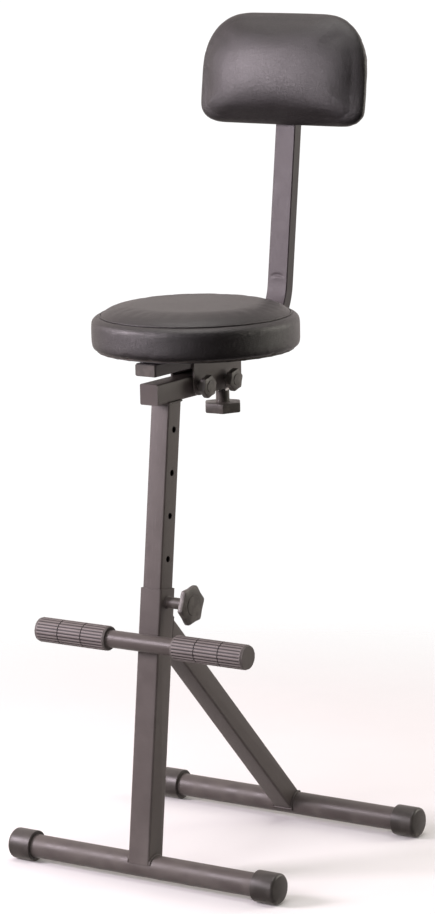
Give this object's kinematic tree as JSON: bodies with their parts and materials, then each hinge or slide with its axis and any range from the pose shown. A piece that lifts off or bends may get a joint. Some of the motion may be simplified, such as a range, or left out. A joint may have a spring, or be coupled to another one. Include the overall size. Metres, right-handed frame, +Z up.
{
  "type": "performer stool",
  "caption": "Tall musician's stool: round padded seat, padded backrest on a bent bar, leaning telescopic column, fluted footrest and twin-bar floor frame with rubber caps.",
  "frame": {"origin": "centre of the bounding box at floor level, under the seat", "axes": "+Z up, -Y towards the sitter's front (footrest side), +X to the side that carries the adjusting knobs"},
  "size_m": [0.51, 0.5112, 1.3393],
  "materials": {
    "paint": "warm dark grey satin powder coat",
    "rubber": "matt black moulded rubber",
    "black_plastic": "semi-matt black nylon",
    "zinc_steel": "bright zinc-plated fixings",
    "vinyl": "fine-grain dark upholstery vinyl",
    "board": "plain plywood"
  },
  "bodies": {
    "floor_frame": {"front_floor_tube": "paint", "rear_floor_tube": "paint", "front_cap_left": "rubber", "front_cap_right": "rubber", "rear_cap_left": "rubber", "rear_cap_right": "rubber", "diagonal_brace": "paint", "outer_column": "paint", "column_boss": "paint", "footrest_tube": "paint", "footrest_grip_left": "rubber", "footrest_grip_right": "rubber"},
    "height_knob_set": {"height_knob": "black_plastic", "height_screw": "zinc_steel"},
    "mast": {"inner_column": "paint", "seat_channel": "paint", "channel_front_plug": "paint", "channel_rear_plug": "black_plastic", "depth_nut": "zinc_steel", "tilt_lock_nut": "zinc_steel"},
    "depth_knob_set": {"depth_knob": "black_plastic", "depth_screw": "zinc_steel"},
    "tilt_lock_knob_set": {"tilt_lock_knob": "black_plastic", "tilt_lock_bolt": "zinc_steel"},
    "seat": {"tilt_bracket": "paint", "seat_board": "board", "seat_cushion": "vinyl", "seat_screw_front_left": "zinc_steel", "seat_screw_front_right": "zinc_steel", "seat_screw_rear_left": "zinc_steel", "seat_screw_rear_right": "zinc_steel", "tilt_pivot_nut": "zinc_steel"},
    "tilt_pivot_knob_set": {"tilt_pivot_knob": "black_plastic", "tilt_pivot_bolt": "zinc_steel"},
    "backrest": {"backrest_bar": "paint", "bar_front_plug": "black_plastic", "bar_top_plug": "black_plastic", "back_board": "board", "back_cushion": "vinyl", "back_bolt_lower": "zinc_steel", "back_bolt_upper": "zinc_steel"}
  },
  "joints": [
    {"name": "seat_height_slide", "type": "slide", "parent": "floor_frame", "child": "mast", "axis": [0, 0.1201, 0.9928], "range_m": [-0.272, 0]},
    {"name": "height_knob_turn", "type": "hinge", "parent": "floor_frame", "child": "height_knob_set", "pos_m": [0, -0.18, 0.44334], "axis": [1, 0, 0], "range_deg": [0, 990]},
    {"name": "seat_tilt", "type": "hinge", "parent": "mast", "child": "seat", "pos_m": [0, -0.0807, 0.7735], "axis": [1, 0, 0], "range_deg": [0, 5]},
    {"name": "tilt_pivot_knob_turn", "type": "hinge", "parent": "seat", "child": "tilt_pivot_knob_set", "pos_m": [0, -0.0807, 0.7735], "axis": [1, 0, 0], "range_deg": [0, 990]},
    {"name": "tilt_lock_knob_turn", "type": "hinge", "parent": "mast", "child": "tilt_lock_knob_set", "pos_m": [0, -0.0057, 0.7735], "axis": [1, 0, 0], "range_deg": [0, 990]},
    {"name": "backrest_depth_slide", "type": "slide", "parent": "seat", "child": "backrest", "axis": [0, 1, 0], "range_m": [-0.022, 0.06]},
    {"name": "depth_knob_turn", "type": "hinge", "parent": "mast", "child": "depth_knob_set", "pos_m": [0, 0.0163, 0.74], "axis": [0, 0, -1], "range_deg": [0, 990]}
  ]
}
